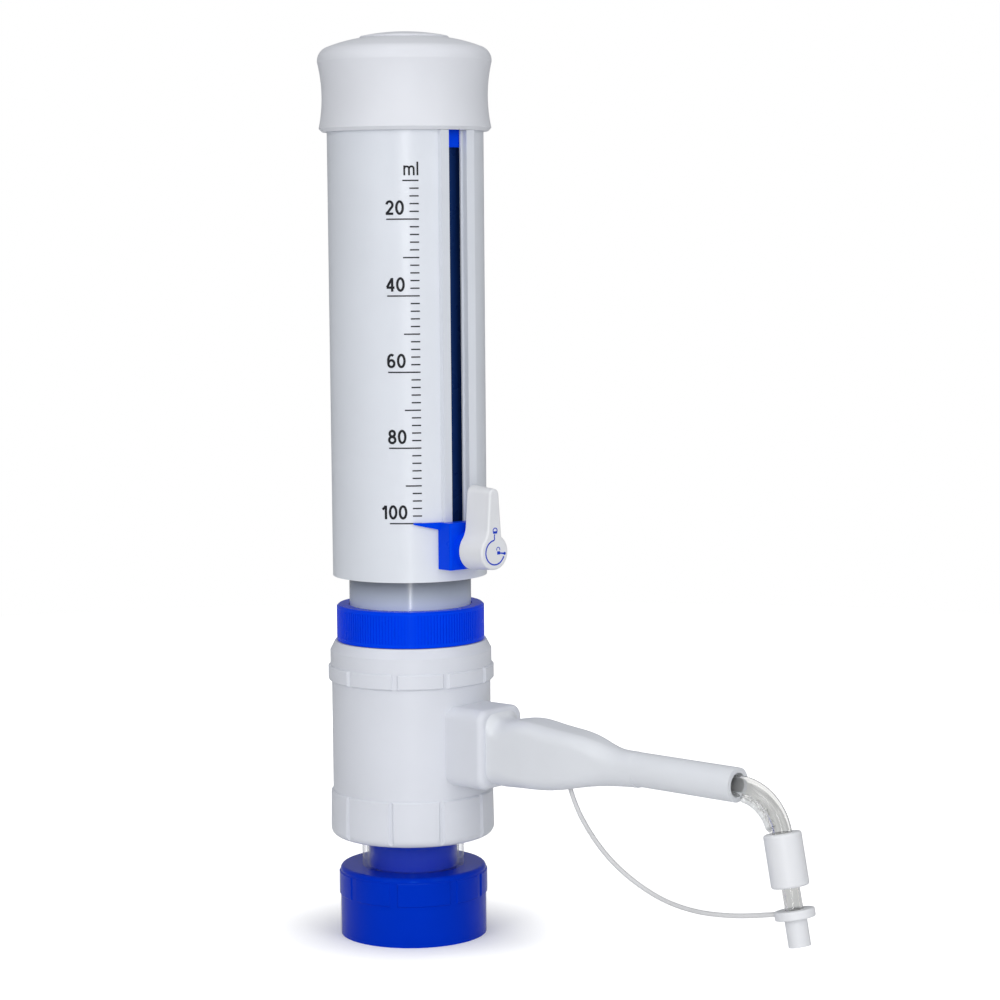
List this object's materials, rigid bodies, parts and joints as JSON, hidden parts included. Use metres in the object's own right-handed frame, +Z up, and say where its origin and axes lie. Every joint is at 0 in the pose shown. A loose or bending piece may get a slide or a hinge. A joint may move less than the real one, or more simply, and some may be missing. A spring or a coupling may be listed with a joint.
{
  "type": "bottle-top dispenser",
  "caption": "Bottle-top liquid dispenser: plunger sleeve with volume slider over a glass barrel, valve housing with discharge arm and capped tip, screw nut for a bottle.",
  "frame": {"origin": "centre of the bottle nut's open face, on the barrel's axis", "axes": "+Z up along the barrel, +X along the discharge arm"},
  "size_m": [0.2081, 0.0626, 0.3286],
  "materials": {
    "blue_nut": "glossy moulded polypropylene",
    "seal_white": "matt soft seal",
    "clear_plastic": "clear polished",
    "ptfe_white": "waxy matt",
    "white_shell": "satin moulded",
    "white_ring": "satin moulded",
    "blue_ring": "satin with fine ribs",
    "valve_ball": "ground ball",
    "barrel_glass": "clear borosilicate",
    "jacket_clear": "clear polished",
    "blue_slider": "satin moulded",
    "navy_rail": "satin moulded",
    "white_sleeve": "satin moulded with printed scale",
    "white_cap": "satin moulded",
    "piston_white": "ground and polished",
    "steel_screw": "plain stainless",
    "white_lever": "satin moulded with printed lock marks",
    "white_arm": "satin moulded",
    "tube_clear": "clear flexible tube",
    "white_collar": "satin moulded",
    "white_nozzle": "satin moulded",
    "tether_white": "translucent milky cord"
  },
  "bodies": {
    "bottle_adapter": {"bottle_nut": "blue_nut", "bottle_gasket": "seal_white", "neck_sleeve": "clear_plastic", "swivel_washer": "ptfe_white"},
    "valve_housing": {"housing": "white_shell", "housing_ring": "white_ring", "union_ring": "blue_ring", "valve_block": "ptfe_white", "snap_ring": "ptfe_white", "suction_valve_body": "ptfe_white", "discharge_valve_body": "ptfe_white", "discharge_seat": "ptfe_white", "barrel_gasket": "seal_white", "glass_barrel": "barrel_glass", "barrel_jacket": "jacket_clear", "stop_ring": "blue_slider", "guide_rail": "navy_rail", "discharge_arm": "white_arm", "discharge_tube": "tube_clear", "tip_tube": "tube_clear", "tip_collar": "white_collar", "cap_tether": "tether_white"},
    "plunger_unit": {"scale_sleeve": "white_sleeve", "top_cap": "white_cap", "cap_disc": "white_cap", "piston": "piston_white", "piston_seal": "seal_white", "piston_plug": "ptfe_white", "piston_screw": "steel_screw"},
    "slider_unit": {"volume_slider": "blue_slider", "clamp_plate": "steel_screw", "clamp_screw": "steel_screw"},
    "lever": {"clamp_lever": "white_lever"},
    "tip_cap": {"nozzle_cap": "white_nozzle"},
    "suction_check": {"suction_ball": "valve_ball"},
    "discharge_check": {"discharge_ball": "valve_ball"}
  },
  "joints": [
    {"name": "housing_turn", "type": "hinge", "parent": "bottle_adapter", "child": "valve_housing", "pos_m": [0, 0, 0.03], "axis": [0, 0, 1], "continuous": true},
    {"name": "plunger_lift", "type": "slide", "parent": "valve_housing", "child": "plunger_unit", "axis": [0, 0, 1], "range_m": [0, 0.1342]},
    {"name": "volume_set", "type": "slide", "parent": "plunger_unit", "child": "slider_unit", "axis": [0, 0, 1], "range_m": [0, 0.1208]},
    {"name": "clamp_turn", "type": "hinge", "parent": "slider_unit", "child": "lever", "pos_m": [0.0366, -0.00541, 0.145], "axis": [0.9893, -0.1461, 0], "range_deg": [0, 240]},
    {"name": "nozzle_cap_pull", "type": "slide", "parent": "valve_housing", "child": "tip_cap", "axis": [0.1942, 0, -0.981], "range_m": [0, 0.0122]},
    {"name": "suction_ball_lift", "type": "slide", "parent": "valve_housing", "child": "suction_check", "axis": [0, 0, 1], "range_m": [0, 0.002]},
    {"name": "discharge_ball_lift", "type": "slide", "parent": "valve_housing", "child": "discharge_check", "axis": [0, 0, 1], "range_m": [0, 0.0016]}
  ]
}
